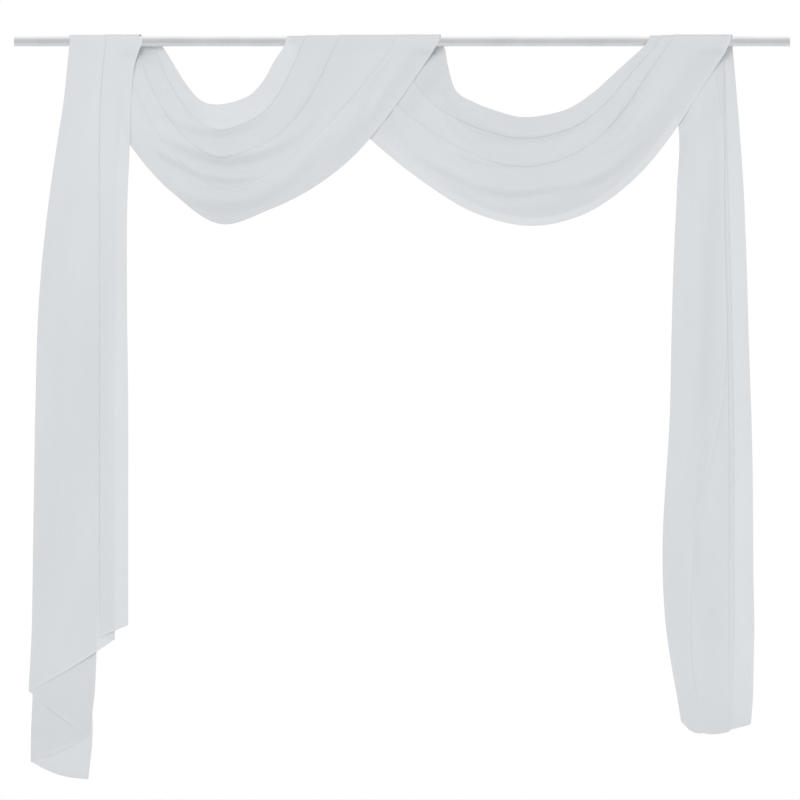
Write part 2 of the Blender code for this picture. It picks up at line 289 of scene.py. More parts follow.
# %% Tables of the turns
CROSSINGS = {
    # name: front_a, front_b, top_a, top_b, back_a, back_b
    "left": (-68.2, -87.4, -68.9, -87.4, -64.0, -85.8),
    "middle": (-30.6, 9.8, -30.0, 10.2, -28.9, 10.2),
    "right": (86.4, 64.7, 86.9, 65.5, 86.9, 66.1),
}
FOLDS_ON_ROD = {
    # name: edge_a, fold_1, fold_2, fold_3, fold_4, fold_5, edge_b
    "left": (0.0, 0.50, 0.10, 1.00, 0.30, 0.96, 0.46),
    "middle": (0.0, 0.38, 0.12, 0.66, 0.34, 1.00, 0.72),
    "right": (0.0, 0.72, 0.11, 0.86, 0.09, 1.00, 0.20),
}
for name, sides in CROSSINGS.items():
    print(f"{name} turn: {abs(sides[3] - sides[2]):.1f} cm wide on top of the rod")

# %% [markdown]
# ## The swags
#
# A swag is the curve that the scarf hangs in between two turns. It starts behind the rod and comes
# forward on its way. Each section is the line across the bundle at one place, from its top edge to
# its bottom edge, or the other way round where the scarf comes off the rod turned over. The folds
# keep their places on the rod at both ends and wander in between. An arc for each edge would be
# simpler, but these two swags are lopsided, each in its own way.

# %% Tables of the left swag
LEFT_SWAG = (
    # top_x, top_z, bottom_x, bottom_z
    (-62.4, -2.3, -85.0, -2.6),
    (-61.1, -4.3, -80.3, -12.3),
    (-57.4, -10.4, -72.9, -25.4),
    (-52.8, -15.6, -60.8, -39.4),
    (-48.7, -16.6, -47.6, -48.1),
    (-44.0, -15.8, -35.3, -44.5),
    (-39.8, -14.0, -23.9, -38.9),
    (-36.5, -10.4, -13.2, -30.7),
    (-33.7, -5.4, -1.1, -16.2),
    (-31.4, -2.0, 7.6, -3.6),
)
LEFT_SWAG_FOLDS = (
    # along, edge_a, fold_1, fold_2, fold_3, fold_4, fold_5, edge_b
    (0.00, *FOLDS_ON_ROD["left"]),
    (0.25, 0.0, 0.56, 0.18, 0.90, 0.42, 1.00, 0.64),
    (0.50, 0.0, 0.60, 0.22, 0.84, 0.45, 1.00, 0.72),
    (0.75, 0.0, 0.50, 0.18, 0.76, 0.42, 1.00, 0.66),
    (1.00, *FOLDS_ON_ROD["middle"]),
)
print(f"left swag: {len(LEFT_SWAG)} sections, {-min(row[3] for row in LEFT_SWAG):.1f} cm deep")

# %% [markdown]
# ## The right swag
#
# The right swag starts behind the left swag's end and hangs a little wider. Its top and bottom
# change places in the table, because the scarf was turned over at the middle of the rod.

# %% Tables of the right swag
RIGHT_SWAG = (
    # bottom_x, bottom_z, top_x, top_z
    (-27.9, -2.6, 11.4, -2.2),
    (-20.3, -14.7, 12.2, -6.8),
    (-10.5, -23.9, 14.0, -12.6),
    (4.2, -36.0, 19.0, -16.0),
    (19.7, -45.4, 25.3, -18.4),
    (33.9, -48.6, 31.1, -19.9),
    (48.2, -45.4, 37.6, -19.4),
    (60.0, -37.3, 44.0, -17.6),
    (70.0, -26.0, 50.5, -13.3),
    (78.4, -13.1, 56.8, -7.6),
    (84.8, -3.4, 62.8, -2.2),
)
RIGHT_SWAG_FOLDS = (
    # along, edge_a, fold_1, fold_2, fold_3, fold_4, fold_5, edge_b
    (0.00, *FOLDS_ON_ROD["middle"]),
    (0.25, 0.0, 0.48, 0.10, 0.74, 0.36, 1.00, 0.62),
    (0.50, 0.0, 0.54, 0.07, 0.80, 0.34, 1.00, 0.52),
    (0.75, 0.0, 0.58, 0.08, 0.80, 0.24, 1.00, 0.40),
    (1.00, *FOLDS_ON_ROD["right"]),
)
print(f"right swag: {len(RIGHT_SWAG)} sections, {-min(row[1] for row in RIGHT_SWAG):.1f} cm deep")

# %% [markdown]
# ## Creases, listed one by one
#
# Voile is limp, so besides its folds it has soft ridges and troughs that all the panels share.
# Each is a short line seen from the front, in centimetres, with how far it stands towards the room
# and how far from the line it fades out. One stand fades towards both ends of its line, and several
# belong to its points one by one. Random noise could make creases as well, but they would all look
# alike.
#
# Three lines belong to the places where one part of the scarf lies on the next just below the rod.
# Both parts use the same line: the one in front is drawn back and the one behind comes forward,
# until cloth lies on cloth.

# %% Where parts cross below the rod
BELOW_LEFT_TURN = (
    (-69, -2), (-70, -4.5), (-71, -9), (-71.5, -13), (-71.8, -18), (-71.9, -24), (-72.2, -32), (-72, -44),
)
BELOW_MIDDLE_TURN = (
    (9.2, -2), (7.4, -3.6), (6, -6), (4.4, -8.5), (1, -12.8), (-5, -20.5), (-9, -25.5), (-16, -35),
)
BELOW_RIGHT_TURN = (
    (85.4, -2), (83.7, -4), (82, -7), (80, -10), (78.4, -12.8), (75, -18.3), (71, -24), (60, -40),
)
SHARED_LINES = (BELOW_LEFT_TURN, BELOW_MIDDLE_TURN, BELOW_RIGHT_TURN)
print("shared lines start at x:", [line[0][0] for line in SHARED_LINES])

# %% [markdown]
# ## Creases of the tails
#
# A tail hangs straight, so its creases are long and almost upright. The broad ones are the
# construction's own, softened. The narrow ones are added here, where the cloth is a little lighter
# or darker in a streak. The left hem also swings towards the room at its lowest corner.

# %% Creases of the tails
LEFT_TAIL_CREASES = (
    # stand, reach, line of (x, z)
    ((0, -1.0, -1.46, -1.46, -1.46, -1.5, -0.8, 0), 9.0, BELOW_LEFT_TURN),
    (0.5, 9.0, ((-80.5, -10), (-85, -50), (-87, -100), (-88, -150), (-87, -188))),
    (-0.5, 6.8, ((-88.0, -20), (-91.5, -55), (-93, -95), (-94, -140))),
    (-0.35, 2.2, ((-73.3, -12), (-73.6, -24), (-73.8, -38))),
    (0.35, 2.6, ((-90.0, -30), (-92.1, -57), (-93.4, -90))),
    (-0.4, 3.0, ((-81.4, -22), (-82.0, -70), (-82.4, -120), (-82.6, -150))),
    (0.4, 3.4, ((-77.4, -30), (-77.2, -80), (-77.0, -140))),
    (1.0, 11.0, ((-125, -184), (-90, -194), (-55, -204))),
)
RIGHT_TAIL_CREASES = (
    # stand, reach, line of (x, z)
    ((0, 1.05, 1.4, 1.5, 1.53, 2.1, 2.1, 0.8), 10.0, BELOW_RIGHT_TURN),
    (1.0, 8.2, ((77, -30), (75, -75), (73, -115), (73.5, -150), (76, -176))),
    (-0.6, 6.8, ((83, -35), (82, -85), (79, -125), (79, -155))),
    (-0.4, 3.0, ((76.5, -12), (75.8, -25), (75.6, -45))),
    (0.35, 2.6, ((81.6, -16), (81.6, -32), (81.4, -50))),
    (-0.4, 2.8, ((80.6, -112), (79.0, -124.7), (78.4, -140), (78.2, -152))),
    (0.35, 3.0, ((88.6, -40), (89.4, -90), (89.6, -140), (89.2, -172))),
)
print(f"tails: {len(LEFT_TAIL_CREASES)} and {len(RIGHT_TAIL_CREASES)} creases")

# %% [markdown]
# ## Creases of the left swag
#
# A swag's creases hang from one end to the other like its own outline, close together near the rod
# and wider apart below. Four long ridges with a height for each point carry the light streaks, and
# a few short ones fan out from the turn in the middle.

# %% Creases of the left swag
LEFT_SWAG_CREASES = (
    # stand, reach, line of (x, z)
    ((0, 1.2, 2.0, 2.03, 2.1, 2.33, 2.2, 1.0), 9.0, BELOW_LEFT_TURN),
    ((0, -1.05, -1.65, -1.9, -2.0, -1.95, -1.95, -0.6), 7.0, BELOW_MIDDLE_TURN),
    (0.8, 8.2, ((-68.0, -16), (-58.0, -25), (-47.0, -27.5), (-37.5, -25), (-27, -15))),
    (0.5, 8.2, ((-66.0, -32), (-58, -39), (-48, -42), (-33, -37), (-20, -26), (-10, -13))),
    (0.5, 5.0, ((-63.5, 0), (-64.5, -2.5), (-66, -5))),
    (0.5, 2.4, ((-66, -8), (-63, -11.5), (-59.7, -13.9), (-55, -16))),
    ((0, 0.4, 0.9, 1.2, 1.4, 1.5, 1.4, 1.0, 0.6, 0), 3.2,
     ((-68.5, -11), (-65, -15), (-62, -18), (-57.5, -20.8), (-53, -22.3), (-49, -22.7),
      (-45.3, -22.2), (-41, -21), (-37, -18.7), (-32, -15))),
    ((0, 0.2, 0.6, 1.0, 1.3, 1.4, 1.5, 1.5, 1.3, 1.2, 0.7, 0), 3.4,
     ((-69, -21), (-66, -23.3), (-62.4, -24.5), (-58.5, -26.4), (-53.2, -28.3), (-49, -29.8),
      (-45, -30), (-40, -29.2), (-35, -27.8), (-29.5, -24.8), (-24, -19.5), (-19, -11))),
    ((0, 0.2, 0.7, 0.9, 0.8, 0.7, 0.7, 0.7, 0.4, 0), 2.2,
     ((-68, -26.5), (-65, -28), (-62.4, -29.4), (-58.5, -31.5), (-53.2, -34), (-49.2, -35),
      (-45.3, -35.8), (-41.3, -35.5), (-37.4, -34.9), (-34, -33))),
    (-0.5, 2.2, ((-63, -34.5), (-57, -36), (-52, -37.3), (-45.3, -37.9), (-40, -37.2), (-35, -35))),
    ((0, 0.5, 0.8, 0.9, 0.9, 0.9, 0.8, 0.6, 0), 4.0,
     ((-64, -35), (-60, -38), (-53, -41), (-45, -41.8), (-38, -39.8), (-31.5, -36), (-26, -30.5),
      (-21.5, -25.5), (-17, -18))),
    (-0.68, 2.6, ((-16.0, -1), (-21.6, -9.4), (-25.5, -17.8), (-30, -24))),
    (0.51, 2.4, ((-21.3, -7.5), (-26.8, -16.8), (-31.0, -22.0))),
    (-0.68, 2.6, ((0.5, -1), (-5.0, -9), (-8.2, -14.7), (-12.5, -24))),
    (0.51, 2.4, ((-6.5, -2.5), (-11.4, -11.5), (-17.5, -19.5))),
)
print(f"left swag: {len(LEFT_SWAG_CREASES)} creases")

# %% [markdown]
# ## Creases of the right swag
#
# The right swag is the wider one, and its creases are shorter and flatter. Two darker troughs run
# down from the turn in the middle, with ridges below them, and four shallow troughs follow the
# lowest edge.

# %% Creases of the right swag
RIGHT_SWAG_CREASES = (
    # stand, reach, line of (x, z)
    ((0, 1.0, 1.75, 1.9, 1.77, 1.4, 1.4, 0), 6.5, BELOW_MIDDLE_TURN),
    ((0, -1.05, -1.77, -1.94, -1.94, -1.95, -1.95, -0.6), 9.0, BELOW_RIGHT_TURN),
    (-0.7, 7.5, ((6, -12), (12, -19), (22.6, -27), (32, -29), (45, -27), (57, -19))),
    (0.5, 8.2, ((-2, -16), (6, -24), (18, -35), (33, -39), (49, -35), (62, -25), (71, -12))),
    (0.5, 5.0, ((11, 0), (10, -2.5), (8, -5))),
    (-0.9, 2.8, ((5.3, -8.6), (11.3, -16.2), (15, -22.3), (22.6, -26.8), (33, -28.3))),
    (-0.8, 2.8, ((1.3, -17), (6.1, -20.7), (14.2, -29.9), (22.6, -32.8), (40, -33.6))),
    (0.51, 2.2, ((12.6, -11.5), (18.5, -19.0), (27.0, -24.0), (37.5, -24.8), (47, -22.0))),
    (-0.42, 2.0, ((28, -26.4), (39.2, -26.0), (46.6, -23.6), (53, -20.5))),
    (-0.85, 2.8, ((52, -27), (56.6, -23.1), (59.5, -18.6), (63.9, -13.3), (68, -6))),
    (0.8, 2.4, ((5.5, -25), (13, -28.5), (22, -31.6), (32, -31.8), (40, -30.2), (46, -27.5))),
    (0.6, 2.6, ((8, -32), (18, -36.5), (28, -38.5), (38, -38), (48, -36.5), (56, -34), (62, -28))),
    (0.7, 2.4, ((48, -29.5), (54, -27.7), (60, -23.4), (66, -17))),
    (-0.68, 2.6, ((46, -39.5), (52.6, -36.8), (58.7, -32.8), (66, -26))),
    (-0.68, 2.2, ((-4.5, -17), (-3.2, -20.7), (-1.6, -24.7), (3, -30))),
    (-0.5, 2.2, ((2, -30.5), (5.3, -32.5), (8.7, -34.6), (14, -37), (19, -38.8))),
    (-0.5, 2.2, ((17, -39.5), (22, -40.6), (30, -41.4), (38, -40.2), (44, -38.5))),
)
print(f"right swag: {len(RIGHT_SWAG_CREASES)} creases")

# %% [markdown]
# ## Smooth runs
#
# Cloth bends evenly, and the tables have only a section every few centimetres. A curve through the
# sections gives as many rows as wanted. Blender's own curves could carry seven lines, but a row of
# the scarf holds more than seven places, and this one function blends them all at once. The soft S
# serves wherever something fades in or out.

# %% Smooth runs
def smooth(keys, rows, wanted):
    """Rows of numbers at the wanted keys, on one smooth curve through the given rows."""
    keys = np.asarray(keys, float)
    rows = np.asarray(rows, float)
    slopes = np.gradient(rows, keys, axis=0)
    found = []
    for key in np.atleast_1d(wanted):
        i = int(np.clip(np.searchsorted(keys, key) - 1, 0, len(keys) - 2))
        step = keys[i + 1] - keys[i]
        t = (key - keys[i]) / step
        found.append(
            (2 * t**3 - 3 * t**2 + 1) * rows[i]
            + (t**3 - 2 * t**2 + t) * step * slopes[i]
            + (3 * t**2 - 2 * t**3) * rows[i + 1]
            + (t**3 - t**2) * step * slopes[i + 1]
        )
    return np.array(found)


def ease(value):
    """0 to 1 along a soft S."""
    value = np.clip(value, 0.0, 1.0)
    return value * value * (3 - 2 * value)


print("a soft S at its quarters:", [round(float(ease(share)), 2) for share in (0, 0.25, 0.5, 0.75, 1)])

# %% [markdown]
# ## One row of the scarf
#
# One row is a flat list of numbers: where its seven lines are, the way its panels are stacked and
# the way they run across, how far apart they lie, its seat, which says which panel lies against the
# rod, the gap that stays where two layers touch, and how far the middle of each panel hangs below
# its ends. Rows could be objects with named parts, but as plain numbers they can be blended like
# colours. On the rod the layers are pulled tight, and they come apart as the cloth leaves it.

# %% One row of the scarf
PANELS = 6
LINES = PANELS + 1
NORMAL = 3 * LINES
ACROSS = NORMAL + 3
SPACING = ACROSS + 3
SEAT = SPACING + 1
GAP = SEAT + 1
SAG = GAP + 1
TIGHT_SPACING = 0.0007
NO_SAG = (0.0,) * PANELS


def row_of(points, normal, across, spacing, seat, gap=TIGHT_SPACING, sag=NO_SAG):
    """One row of the scarf as a flat list of numbers."""
    return np.concatenate([np.ravel(points), normal, across, [spacing, seat, gap], sag])


def loosened(loose, spacing, gap):
    """The distance between layers and their gap where they touch, as the cloth leaves the rod."""
    return TIGHT_SPACING + (spacing - TIGHT_SPACING) * loose, TIGHT_SPACING + (gap - TIGHT_SPACING) * loose


print(f"a row has {SAG + PANELS} numbers")

# %% [markdown]
# ## Rows of the tails
#
# A tail hangs from the rod's front or back, just clear of the metal. Its rows go down to the hem.
# They are level at the top and take on the hem's own line on the way, because each row is a share
# of every line's drop. A level cut with a stepped end would be easier, but the weave would then not
# run along the hem.

# %% Rows of the tails
ROD_RADIUS = 0.014
ROD_CLEARANCE = 0.0006
SEAT_RADIUS = ROD_RADIUS + ROD_CLEARANCE
ALONG_ROD = (1.0, 0.0, 0.0)
IN_FRONT = -1
BEHIND = 1
TAIL_ROWS = 120
TAIL_SPACING = 0.0045
TAIL_GAP = 0.0004
LOOSEN_OVER = 0.35
SAG_OVER = 0.08


def tail_rows(table, hem_drop, hem_sag, side):
    """Rows of a tail from the rod down to its hem."""
    table = np.array(table)
    hem_drop = np.array(hem_drop)
    rows = []
    for share in np.linspace(0, 1, TAIL_ROWS + 1)[1:]:
        drops = hem_drop * share
        places = [smooth(table[:, 0], table[:, 1:], drop)[0][line] for line, drop in enumerate(drops)]
        points = [(x * CM, side * SEAT_RADIUS, -drop * CM) for x, drop in zip(places, drops)]
        spacing, gap = loosened(ease(drops.mean() * CM / LOOSEN_OVER), TAIL_SPACING, TAIL_GAP)
        near_hem = 1 - ease((hem_drop - drops).mean() * CM / SAG_OVER)
        sag = np.array(hem_sag) * CM * near_hem
        rows.append(row_of(points, (0, side, 0), ALONG_ROD, spacing, 1, gap, sag))
    return rows


left_tail = tail_rows(LEFT_TAIL, LEFT_HEM_DROP, LEFT_HEM_SAG, IN_FRONT)[::-1]
right_tail = tail_rows(RIGHT_TAIL, RIGHT_HEM_DROP, RIGHT_HEM_SAG, BEHIND)
print(f"tails: {len(left_tail)} and {len(right_tail)} rows")

# %% [markdown]
# ## Rows over the rod
#
# Over the rod every line is half a circle, from the front over the top to the back. The bundle's
# sides shift a little on the way. Behind the rod the cloth moves sideways late, low down, where the
# rod hides it. A bend modifier could roll a flat strip round the rod, but it would leave no say over
# the sides.

# %% Rows over the rod
CROSSING_ROWS = 21
QUARTER_TURN = math.pi / 2
LATE_BEHIND_ROD = 2.0


def crossing_rows(name, outward):
    """Rows over the rod from its front to its back. outward is 1 where the first panel is outermost."""
    front_a, front_b, top_a, top_b, back_a, back_b = CROSSINGS[name]
    front_top_back = ((front_a, front_b), (top_a, top_b), (back_a, back_b))
    shares = np.array(FOLDS_ON_ROD[name])
    rows = []
    for turn in np.linspace(0, math.pi, CROSSING_ROWS):
        behind = max(0.0, turn / QUARTER_TURN - 1)
        key = min(turn, QUARTER_TURN) + QUARTER_TURN * behind**LATE_BEHIND_ROD
        side_a, side_b = smooth((0, QUARTER_TURN, math.pi), front_top_back, key)[0] * CM
        radial = np.array((0, -math.cos(turn), math.sin(turn)))
        points = [(side_a + (side_b - side_a) * share, *(radial[1:] * SEAT_RADIUS)) for share in shares]
        across = np.array(ALONG_ROD) * math.copysign(1, side_b - side_a)
        rows.append(row_of(points, outward * radial, across, TIGHT_SPACING, outward))
    return rows


left_crossing = crossing_rows("left", 1)
middle_crossing = crossing_rows("middle", -1)
right_crossing = crossing_rows("right", 1)
print(f"three crossings of {len(left_crossing)} rows")

# %% [markdown]
# ## Rows of the swags
#
# A swag starts behind the rod and ends in front of it, so its seat changes from one side of the
# stack to the other on the way, along half a cosine. It is tight at both ends and loose in its
# middle. Each row comes straight from one section of the tables. A hanging curve worked out from
# the cloth's weight would be even, which this scarf isn't.

# %% Rows of the swags
SWAG_SPACING = 0.0035
SWAG_GAP = 0.0008
SWAG_LOOSENING = 1.4


def swag_rows(sections, folds, start_seat):
    """Rows of a swag from behind the rod to its front.

    start_seat is 1 where panel six starts nearest the rod, and -1 where panel one does.
    """
    sections = np.array(sections)
    folds = np.array(folds)
    rows = []
    for i, (ax, az, bx, bz) in enumerate(sections * CM):
        along = i / (len(sections) - 1)
        shares = smooth(folds[:, 0], folds[:, 1:], along)[0]
        forward = math.cos(math.pi * along)
        start = np.array((ax, forward * SEAT_RADIUS, az))
        end = np.array((bx, forward * SEAT_RADIUS, bz))
        points = [start + (end - start) * share for share in shares]
        across = (end - start) / np.linalg.norm(end - start)
        loose = ease(math.sin(math.pi * along) * SWAG_LOOSENING)
        spacing, gap = loosened(loose, SWAG_SPACING, SWAG_GAP)
        rows.append(row_of(points, (0, start_seat, 0), across, spacing, start_seat * forward, gap))
    return rows


left_sections = swag_rows(LEFT_SWAG, LEFT_SWAG_FOLDS, 1)
right_sections = swag_rows(RIGHT_SWAG, RIGHT_SWAG_FOLDS, -1)
print(f"swags: {len(left_sections)} and {len(right_sections)} sections as rows")

# %% [markdown]
# ## From sections to a whole scarf
#
# The seven parts follow each other without a gap, from the left tail's hem to the right tail's
# hem. A swag's few sections are first split into many rows on a smooth curve, and a few straight
# rows join both its ends to the turns. Each part could be a mesh of its own, but then the seams
# between them would show in the shading. One run of rows makes one unbroken cloth.

# %% All parts in a row
ROW_SPLIT_IN_SWAG = 12
ROWS_BELOW_ROD = 4


def split_rows(rows, times):
    """The same rows with more between them, on smooth curves."""
    rows = np.array(rows)
    places = rows[:, :NORMAL].reshape(len(rows), LINES, 3).mean(axis=1)
    keys = np.concatenate([[0], np.cumsum(np.linalg.norm(np.diff(places, axis=0), axis=1))])
    between_rows = np.linspace(0, len(rows) - 1, (len(rows) - 1) * times + 1)
    wanted = np.interp(between_rows, np.arange(len(rows)), keys)
    return list(smooth(keys, rows, wanted))


def joined(before, sections, after):
    """All rows of a swag, with a few more up to the crossings before and after it."""
    rows = split_rows(sections, ROW_SPLIT_IN_SWAG)
    shares = np.arange(1, ROWS_BELOW_ROD + 1)[:, None] / (ROWS_BELOW_ROD + 1)
    first = before[-1] + (rows[0] - before[-1]) * shares
    last = rows[-1] + (after[0] - rows[-1]) * shares
    return [*first, *rows, *last]


SCARF_PARTS = (
    # name, rows, creases
    ("left tail", left_tail, LEFT_TAIL_CREASES),
    ("left crossing", left_crossing, ()),
    ("left swag", joined(left_crossing, left_sections, middle_crossing), LEFT_SWAG_CREASES),
    ("middle crossing", middle_crossing, ()),
    ("right swag", joined(middle_crossing, right_sections, right_crossing), RIGHT_SWAG_CREASES),
    ("right crossing", right_crossing, ()),
    ("right tail", right_tail, RIGHT_TAIL_CREASES),
)
print("rows:", {name: len(rows) for name, rows, creases in SCARF_PARTS})

# %% [markdown]
# ## How the layers settle
#
# Flat layers at an even distance look like folded paper, with a hard dark line along each edge.
# Limp cloth settles: the last few centimetres before a fold or a selvedge sink back against the
# layer behind, down to a small gap, and the fold closes. Only the rearmost layer has nothing to
# sink against. A physics run could let the layers fall together, but it would also move the folds.
# So the sinking is a rule: full at a fold or a selvedge, fading out over a hand's width, and never
# deeper than the panel behind allows.

# %% Sinking of one panel
NESTLE_REACH = 0.085


def sunk_at(panel, place):
    """How far a panel sinks at a place across the row: never into the panel behind it."""
    if panel is None:
        return 0.0
    fold, on_fold, edge, on_edge, behind, against = panel
    inside = min(max(place, min(fold, edge)), max(fold, edge))
    near_fold = 1 - ease(abs(inside - fold) / NESTLE_REACH)
    near_edge = 1 - ease(abs(inside - edge) / NESTLE_REACH)
    sunk = on_fold * near_fold + on_edge * near_edge * (1 - near_fold)
    sunk *= 1 - ease(abs(place - inside) / NESTLE_REACH)
    return sunk if behind is None else min(sunk, sunk_at(behind, place) + against)


print(f"sinking fades out over {NESTLE_REACH * 1000:.0f} mm")

# %% [markdown]
# ## From the rear to the front
#
# Each fold and edge rides on what lies behind it, so the panels are settled one after another from
# the rearmost forwards. Settled all at once, they would have to be nudged again and again until
# none cut its neighbour. A fold keeps twice the gap of an edge, because its two layers need room.

# %% Settling the stack
FOLD_TO_GAP = 2.0


def settled_panels(row):
    """Each panel's fold and edge, how far they sink, the panel behind it and the way left to it."""
    lines = row[:NORMAL].reshape(LINES, 3)
    places = lines @ row[ACROSS:SPACING]
    against = max(0.0, row[SPACING] - row[GAP])
    closing = max(0.0, row[SPACING] - row[GAP] * FOLD_TO_GAP)
    first_in_front = row[NORMAL + 1] < 0
    from_the_rear = range(PANELS - 1, -1, -1) if first_in_front else range(PANELS)
    found = [None] * PANELS
    behind = None
    for panel in from_the_rear:
        fold, edge = (panel + 1, panel) if first_in_front else (panel, panel + 1)
        if behind is None:
            on_fold = on_edge = 0.0
        else:
            on_fold = sunk_at(behind, places[fold]) + closing
            on_edge = sunk_at(behind, places[edge]) + against
        behind = (places[fold], on_fold, places[edge], on_edge, behind, against)
        found[panel] = behind
    return found


middle_of_swag = settled_panels(left_sections[len(left_sections) // 2])
print(f"in the middle of the left swag a layer may sink {middle_of_swag[0][-1] * 1000:.2f} mm")

# %% [markdown]
# ## Closing up towards the hems
#
# Near a hem nothing holds the layers apart any more, so the whole stack closes up to a quarter of
# its depth. The share depends on the height alone, so that the layers stay in order. Sewing the
# corners together would close it too, but a real scarf hangs free.

# %% Closing up
CLOSED_AT_HEM = 0.25
CLOSING_HEIGHTS = {
    # part: plane it closes to, height where it starts, height where it is closed
    "left tail": (-SEAT_RADIUS, -1.30, -1.72),
    "right tail": (SEAT_RADIUS, -1.55, -1.80),
}


def closed_up(part, points):
    """The points with a tail's layers closer together towards its hem."""
    if part in CLOSING_HEIGHTS:
        plane, start, end = CLOSING_HEIGHTS[part]
        kept = 1 - (1 - CLOSED_AT_HEM) * ease((points[:, 2] - start) / (end - start))
        points[:, 1] = plane + (points[:, 1] - plane) * kept
    return points


print("closed from:", {part: heights[1:] for part, heights in CLOSING_HEIGHTS.items()})

# %% [markdown]
# ## From a row to points
#
# Across a row, each panel runs from one line to the next in its own layer, and a half round joins
# it to the next panel. The half round could come from a bevel on a sharp fold, but a bevel knows
# nothing of the layer behind and would cut into it where the fold has closed.

# %% Layers and their folds
POINTS_IN_FOLD = 5


def layer_depths(row):
    """How far each panel lies along the row's normal from the lines in the tables."""
    order = np.arange(PANELS)
    seat = row[SEAT]
    return row[SPACING] * ((1 + seat) / 2 * (PANELS - 1 - order) - (1 - seat) / 2 * order)


def half_round(end, way, bend, first_depth, second_depth, normal):
    """The points of the fold between a panel and the next one."""
    middle = (first_depth + second_depth) / 2
    half = (first_depth - second_depth) / 2
    for i in range(1, POINTS_IN_FOLD + 1):
        turn = math.pi * i / (POINTS_IN_FOLD + 1)
        depth = middle + half * math.cos(turn)
        yield end + way * bend * math.sin(turn) + normal * depth


print("layers of the left tail, from its seat:", layer_depths(left_tail[0]).round(4))

# %% [markdown]
# ## The points of one row
#
# Now a row becomes a run of points from selvedge to selvedge. Each panel is straight in its middle,
# sinks towards its ends and hangs through a little near a hem. A subdivided strip would need fewer
# numbers, but subdividing pulls a fold off its line, and the fold is what shows.

# %% Points across a row
STEPS_IN_PANEL = 24
DOWN = np.array((0, 0, -1))


def points_across(row):
    """The cloth along one row, as points from selvedge to selvedge."""
    lines = row[:NORMAL].reshape(LINES, 3)
    normal = row[NORMAL:ACROSS] / np.linalg.norm(row[NORMAL:ACROSS])
    places = lines @ row[ACROSS:SPACING]
    depths = layer_depths(row)
    settled = settled_panels(row)
    starts = depths + normal[1] * np.array([sunk_at(one, places[i]) for i, one in enumerate(settled)])
    ends = depths + normal[1] * np.array([sunk_at(one, places[i + 1]) for i, one in enumerate(settled)])
    bends = np.abs(ends[:-1] - starts[1:]) / 2
    points = []
    for panel in range(PANELS):
        start, end = lines[panel], lines[panel + 1]
        width = np.linalg.norm(end - start)
        way = (end - start) / width
        first = start + way * (bends[panel - 1] if panel > 0 else 0)
        last = end - way * (bends[panel] if panel < PANELS - 1 else 0)
        for step in range(STEPS_IN_PANEL + 1):
            share = step / STEPS_IN_PANEL
            sag = DOWN * row[SAG + panel] * math.sin(math.pi * share)
            place = places[panel] + (places[panel + 1] - places[panel]) * share
            depth = depths[panel] + normal[1] * sunk_at(settled[panel], place)
            points.append(first + (last - first) * share + sag + normal * depth)
        if panel < PANELS - 1:
            points.extend(half_round(last, way, bends[panel], ends[panel], starts[panel + 1], normal))
    return np.array(points)


print(f"{len(points_across(left_crossing[0]))} points across a row")

# %% [markdown]
# ## Pressing in the creases
#
# The creases push all layers of a part by the same amount, so that they drive no layer into
# another. All fade in just below the rod, where the cloth is pulled tight. Sculpting the finished
# mesh would give creases as well, but each layer would have to be sculpted alike.

# %% Creases
CREASE_POINTS = 80
CREASES_START_OVER = 0.025


def crease_paths(creases):
    """Creases as stands, reach and a smooth run of points, in metres."""
    for stand, reach, line in creases:
        keys = np.arange(len(line))
        wanted = np.linspace(0, len(line) - 1, CREASE_POINTS)
        run = smooth(keys, line, wanted) * CM
        if isinstance(stand, tuple):
            stands = np.interp(wanted, keys, stand) * CM
        else:
            stands = stand * CM * np.sin(math.pi * wanted / wanted[-1])
        yield stands, reach * CM, run


def towards_room(points, paths):
    """How far the creases push each point towards the room."""
    push = np.zeros(len(points))
    for stands, reach, run in paths:
        gaps = np.linalg.norm(points[:, None, (0, 2)] - run[None], axis=2)
        push += stands[gaps.argmin(axis=1)] * (1 - ease(gaps.min(axis=1) / reach))
    return push * ease((-points[:, 2] - ROD_RADIUS) / CREASES_START_OVER)


grid = []
for part, rows, creases in SCARF_PARTS:
    paths = list(crease_paths(creases))
    for row in rows:
        points = closed_up(part, points_across(row))
        points[:, 1] -= towards_room(points, paths)
        grid.append(points)
grid = np.array(grid)
print(f"grid: {grid.shape[0]} rows of {grid.shape[1]} points")

# %% [markdown]
# ## The sheet
#
# The grid becomes one thin sheet, with a face between each four neighbours. A grid primitive could
# be bent into place in edit mode, but with so many folds its points are placed at once. The sheet
# has no thickness, because voile is as thin as paper. Its hems show by their denser look.

# %% Sheet mesh
row_count, column_count = grid.shape[:2]
corners = np.arange(row_count * column_count).reshape(row_count, column_count)
faces = np.stack([corners[:-1, :-1], corners[:-1, 1:], corners[1:, 1:], corners[1:, :-1]], axis=-1)
mesh = bpy.data.meshes.new("scarf_voile")
mesh.from_pydata(grid.reshape(-1, 3).tolist(), [], faces.reshape(-1, 4).tolist())
mesh.shade_smooth()
print(f"sheet: {len(mesh.polygons)} faces, {sum(face.area for face in mesh.polygons):.2f} square metres")

# %% [markdown]
# ## A flat map of the cloth
#
# The weave, the hems and the yarns have to follow the cloth round every fold, so the sheet's UV map
# is the flat cloth itself, in metres: one metre wide and six long. Unwrapping would find such a map
# too, up to a turn and a scale. Here every point already knows its share of the way across and
# along.

# %% Flat map
FLAT_WIDTH = 1.0
FLAT_LENGTH = 6.0

across = np.linalg.norm(np.diff(grid, axis=1), axis=2)
width = across.sum(axis=1)
share_across = np.concatenate([np.zeros((row_count, 1)), np.cumsum(across, axis=1)], axis=1) / width[:, None]
along = np.linalg.norm(np.diff(grid, axis=0), axis=2).mean(axis=1)
share_along = np.concatenate([[0], np.cumsum(along)]) / along.sum()

